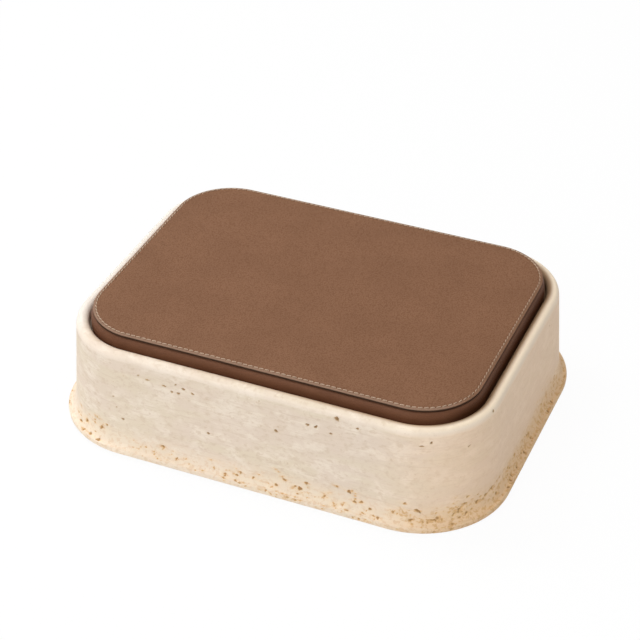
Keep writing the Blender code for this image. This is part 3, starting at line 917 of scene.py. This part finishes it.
def top_leather():
    """The panel's height falls by a square at the margin and by a bell curve in the valley along the
    seam, with a round dent at each hole. The field goes up and down by a sine times a cosine."""
    distance = np.arange(stitches * STITCH_STATIONS) * PITCH / STITCH_STATIONS
    bottom, top = lid_low.z, lid_high.z
    side = np.vstack(([(-CUT_UNDER, bottom), (-CUT_SLACK, bottom + CUT_LIFT)],
                      arc((-EDGE_ROUND, top - MARGIN_FALL - EDGE_ROUND), EDGE_ROUND, 0, 75, EDGE_ROUND / 4)))
    insets = MARGIN_INSETS[:, None]
    rise = np.clip((insets - EDGE_ROUND) / (STITCH_INSET - EDGE_ROUND), 0, 1)
    height = top - MARGIN_FALL * (1 - rise) ** 2 - VALLEY_DEPTH * bell(insets - STITCH_INSET, VALLEY_WIDTH)
    along = (distance / PITCH + 0.5) % 1.0 - 0.5
    hole_inset = STITCH_INSET + STITCH_SLANT * np.sign(along)
    margin = height - HOLE_DEPTH * bell(insets - hole_inset, HOLE_WIDTH) * bell(along * PITCH, HOLE_WIDTH)
    low = np.broadcast_to(side[:, 1:], (len(side), len(distance)))
    rows = np.vstack((side[:, :1], -insets))
    points = carried(rows, np.vstack((low, margin)), distance, -STITCH_INSET)
    rim_rows = len(rows)

    field = inner_rings(points[-1, ::STITCH_STATIONS], FIELD_SHARES)
    swell = np.sin(field[..., 0] * RATE_ACROSS) * np.cos(field[..., 1] * RATE_BACK + 1)
    field[..., 2] -= FIELD_WAVE * (0.5 + 0.5 * swell)
    wide, few = len(distance), stitches
    quads = weave(rim_rows, wide)
    start = rim_rows * wide
    inner = weave(len(field), few) + start
    step = np.arange(few)[:, None]
    outer_edge = (rim_rows - 1) * wide + (step * STITCH_STATIONS + np.arange(STITCH_STATIONS + 1)) % wide
    bridge = np.column_stack((outer_edge, start + (step + 1) % few, start + step))
    last = start + (len(field) - 1) * few + np.arange(few)
    loops = np.concatenate((quads.ravel(), inner.ravel(), bridge.ravel(), np.arange(wide)[::-1], last))
    totals = np.concatenate((np.full(len(quads) + len(inner), 4),
                             np.full(few, STITCH_STATIONS + 3), (wide, few)))
    inset = np.concatenate((np.repeat(-rows, wide), np.full(field.shape[0] * few, FIELD_INSET)))
    all_points = np.vstack((points.reshape(-1, 3), field.reshape(-1, 3)))
    return put_mesh("top_leather_panel", all_points, loops, totals, SEWN_SHARP,
                    {"inset": inset, "fall": top - all_points[:, 2]})


def fine_calf():
    """Fine pebbled calf with painted sheen on the pressed margin, less at the right; its edge is painted
    dark.
    """
    made, tree, shader = new_material("top_calf")
    grain, inset = grained(tree, 1250.0), own_value(tree, "inset")
    # Painted sheen on the pressed margin, fading towards the right end
    margin = times(sift(inset, *MARGIN_EDGE), sift(place_parts(tree)["X"], *MARGIN_SHEEN_FADE, 0.55, 0.15))
    painted = times(sift(own_value(tree, "fall"), *PAINT_FALL), sift(inset, *PAINT_EDGE))
    colour = layered(tint(sift(grain["Blotch"], 0.30, 0.70), TOP_DEEP, TOP_PALE),
                     (times(grain["Crease"], 0.45), TOP_CREASE),
                     (margin, MARGIN_SHEEN), (painted, EDGE_PAINT))
    fill(shader, {"Base Color": colour, "Roughness": sift(grain["Height"], 0.2, 1.1, 0.66, 0.52),
                  "Specular IOR Level": sift(painted, 0.0, 1.0, 0.14, 0.05),
                  "Normal": relief(grain["Height"], 0.00005)})
    return made


top_panel = top_leather()
dress(top_panel, fine_calf())
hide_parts("lid_top_leather")
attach(top_panel, "lid")


# Saddle stitches: waxed linen thread, sewn by hand through the pricked holes, with one slanted
# stitch from each hole to the next.
THREAD = 0.00070
THREAD_THINNING = 0.25
THREAD_RINGS = 9
THREAD_SIDES = 7
STITCH_REACH = 0.44
STITCH_DIVE = 0.0007
TWIST = 0.0009
# Where painted shade darkens the thread towards the right end
THREAD_SHADE_RIGHT = (0.120, 0.132)
# Linen colours: deep and pale along the twist, and painted shade for the right end
LINEN_DEEP, LINEN_PALE, LINEN_SHADE = (0.405, 0.285, 0.195), (0.595, 0.450, 0.330), (0.240, 0.135, 0.075)
stitch_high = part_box("lid_stitching")[1].z


def stitch_row():
    """Every stitch as a tube. Along it the thread rises out of one hole, lies over the valley and
    dives into the next, as a sixth power of the way from its middle, and crosses by the slant."""
    way = np.linspace(-1, 1, THREAD_RINGS)
    turn = np.arange(THREAD_SIDES) * 2 * pi / THREAD_SIDES
    middle = (np.arange(stitches)[:, None] + 0.5 + STITCH_REACH * way) * PITCH
    slant = STITCH_SLANT * way
    thick = THREAD / 2 * (1 - THREAD_THINNING * way ** 4)
    centre_height = stitch_high - THREAD / 2 - STITCH_DIVE * way ** 6
    offset = -STITCH_INSET - slant[:, None] + thick[:, None] * np.cos(turn)
    height = centre_height[:, None] + thick[:, None] * np.sin(turn)
    x, y, _, _ = walk(middle[:, :, None], offset, -STITCH_INSET)
    points = np.stack((x, y, np.broadcast_to(height, x.shape)), axis=3)
    each = THREAD_RINGS * THREAD_SIDES
    quads = weave(THREAD_RINGS, THREAD_SIDES)
    first = (np.arange(stitches) * each)[:, None, None]
    ends = np.stack((np.arange(THREAD_SIDES)[::-1], np.arange(THREAD_SIDES) + each - THREAD_SIDES))
    loops = np.concatenate(((first + quads).ravel(), (first + ends).ravel()))
    totals = np.concatenate((np.full(stitches * len(quads), 4), np.full(stitches * 2, THREAD_SIDES)))
    run = np.broadcast_to((way * PITCH * STITCH_REACH)[:, None], x.shape)
    round_it = np.broadcast_to(turn, x.shape)
    return put_mesh("saddle_stitches", points.reshape(-1, 3), loops, totals, SEWN_SHARP,
                    {"along": run.ravel(), "around": round_it.ravel()})


def waxed_thread():
    """Pale linen, twisted once in each twist's length, slightly shiny with wax, with painted shade at the
    right.
    """
    made, tree, shader = new_material("waxed_linen")
    turns = times(own_value(tree, "along"), 2 * pi / TWIST)
    twist = reckon("SINE", reckon("ADD", turns, own_value(tree, "around")))
    fuzz = noise(object_place(tree), 4000.0, 2.0)
    shade = sift(reckon("ADD", times(twist, 0.3), fuzz), 0.2, 0.8)
    colour = layered(tint(shade, LINEN_DEEP, LINEN_PALE),
                     # Painted shade towards the right end
                     (sift(place_parts(tree)["X"], *THREAD_SHADE_RIGHT, 0.0, 0.45), LINEN_SHADE))
    fill(shader, {"Base Color": colour, "Roughness": sift(fuzz, 0.3, 0.7, 0.50, 0.66),
                  "Specular IOR Level": 0.25, "Normal": relief(twist, 0.00004)})
    return made


stitching = stitch_row()
dress(stitching, waxed_thread())
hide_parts("lid_stitching")
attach(stitching, "lid")


# Lining of the lid: a suede panel glued under the core, where it covers the turned-in edges of the
# side leather.
LID_LINING_ROUND = 0.0005
LID_LINING_WAVE = 0.00012
lid_suede = soft_panel("suede_lid_lining", *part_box("lid_lining"), LID_LINING_ROUND, GLUED_ROUND,
                       LID_LINING_WAVE, SUEDE_WAVE_RATE, LINING_STATION)
dress(lid_suede, store_suede)
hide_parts("lid_lining")
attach(lid_suede, "lid")


# Studio: a pale floor that shows white and keeps a soft shadow, an even sky, and large soft lamps.
# The camera stands where the photograph was taken from.
FLOOR_SIZE = 12.0
FLOOR_DROP = 0.0002
FLOOR_COLOUR = (0.92, 0.92, 0.92, 1)
FLOOR_GLOW_SHARE = 0.95
SKY_LEFT = 0.25
SKY_RIGHT = 0.46
CAMERA_AZIMUTH = 23.04
CAMERA_ELEVATION = 35.24
CAMERA_DISTANCE = 1.2341
CAMERA_TARGET = Vector((0.0044, -0.0112, 0.0668))
LENS_MM = 103.65
SENSOR_MM = 36.0


def seen_ray(tree):
    """1 for rays from the camera and for rays that mirror or pass through something."""
    ray = add(tree, "LightPath").outputs
    both = reckon("MAXIMUM", ray["Is Camera Ray"], ray["Is Glossy Ray"])
    return reckon("MAXIMUM", both, ray["Is Transmission Ray"])


def studio_floor():
    """A wide white floor, part of which glows for rays that see it."""
    corners = [(right * FLOOR_SIZE / 2, back * FLOOR_SIZE / 2, -FLOOR_DROP)
               for right, back in ((-1, -1), (1, -1), (1, 1), (-1, 1))]
    mesh = bpy.data.meshes.new("studio_floor")
    mesh.from_pydata(corners, [], [(0, 1, 2, 3)])
    made, tree, shader = new_material("studio_paper")
    fill(shader, {"Base Color": FLOOR_COLOUR, "Roughness": 0.9, "Specular IOR Level": 0.0})
    glow = add(tree, "Emission", {"Color": (1, 1, 1, 1), "Strength": 1.0})
    share = times(seen_ray(tree), FLOOR_GLOW_SHARE)
    both = add(tree, "MixShader", {0: share, 1: shader.outputs[0], 2: glow.outputs[0]})
    tree.links.new(both.outputs[0], tree.nodes["Material Output"].inputs["Surface"])
    mesh.materials.append(made)
    return put("studio_floor", mesh)


def studio_sky():
    """A sky that is full white where it is seen. The light that it gives falls from the horizon up,
    and rises from the left to the right."""
    world = bpy.data.worlds.new("studio_sky")
    world.use_nodes = True
    tree = world.node_tree
    background = tree.nodes["Background"]
    direction = add(tree, "TexCoord").outputs["Generated"]
    parted = add(tree, "SeparateXYZ", {"Vector": direction}).outputs
    seen = seen_ray(tree)
    given = times(sift(parted["Z"], 0.25, 0.95, 1.0, 0.0),
                  sift(parted["X"], 0.2, 0.9, SKY_LEFT, SKY_RIGHT), sift(seen, 0.0, 1.0, 1.0, 0.0))
    fill(background, {"Color": (1, 1, 1, 1), "Strength": reckon("ADD", given, seen)})
    bpy.context.scene.world = world


def looking(name, data, azimuth, elevation, distance, target=Vector()):
    """A lamp or camera that looks at a target from a direction, in degrees round it and above it."""
    turn, rise = radians(azimuth), radians(elevation)
    back = Vector((sin(turn) * cos(rise), -cos(turn) * cos(rise), sin(rise)))
    placed = put(name, data)
    placed.location = target + back * distance
    placed.rotation_euler = (-back).to_track_quat("-Z", "Y").to_euler()
    return placed


def softbox(name, azimuth, elevation, distance, size, power):
    """A square lamp that looks at the box."""
    lamp = bpy.data.lights.new(name, "AREA")
    lamp.shape, lamp.size, lamp.energy = "SQUARE", size, power
    looking(name, lamp, azimuth, elevation, distance)


studio_floor()
studio_sky()
softbox("key_from_left", -100, 50, 1.9, 1.0, 15.0)
softbox("fill_from_front", -12, 35, 2.0, 1.2, 16.6)
softbox("top_from_back", -130, 68, 1.9, 1.2, 11.0)
softbox("top_from_right", 75, 66, 1.9, 0.9, 9.1)

lens = bpy.data.cameras.new("camera")
lens.lens, lens.sensor_width = LENS_MM, SENSOR_MM
bpy.context.scene.camera = looking("camera", lens, CAMERA_AZIMUTH, CAMERA_ELEVATION, CAMERA_DISTANCE,
                                   CAMERA_TARGET)
bpy.context.scene.view_settings.view_transform = "Standard"
